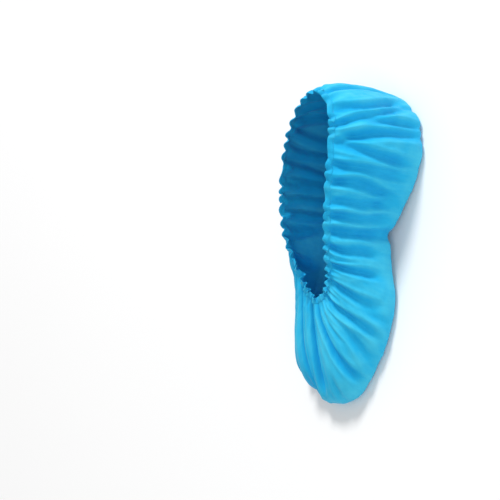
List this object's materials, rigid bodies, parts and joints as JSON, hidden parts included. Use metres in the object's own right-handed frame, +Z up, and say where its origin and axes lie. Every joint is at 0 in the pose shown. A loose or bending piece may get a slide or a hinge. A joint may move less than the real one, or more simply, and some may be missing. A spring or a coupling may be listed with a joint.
{
  "type": "shoe cover",
  "caption": "Disposable non-woven overshoe: a hollow gathered bag, waisted under the arch, with a ruffled elastic hem round a long foot opening.",
  "frame": {"origin": "on the floor under the middle of the cover's box", "axes": "+X from the heel towards the toe, +Y towards the wearer's left, +Z up from the sole to the foot opening"},
  "size_m": [0.3136, 0.1228, 0.1062],
  "materials": {
    "cloth": "sky-blue spunbond non-woven, soft sheen",
    "hem": "the same cloth, gathered over an elastic"
  },
  "bodies": {
    "root": {"cover_bag": "cloth", "elastic_hem": "hem"}
  },
  "joints": []
}
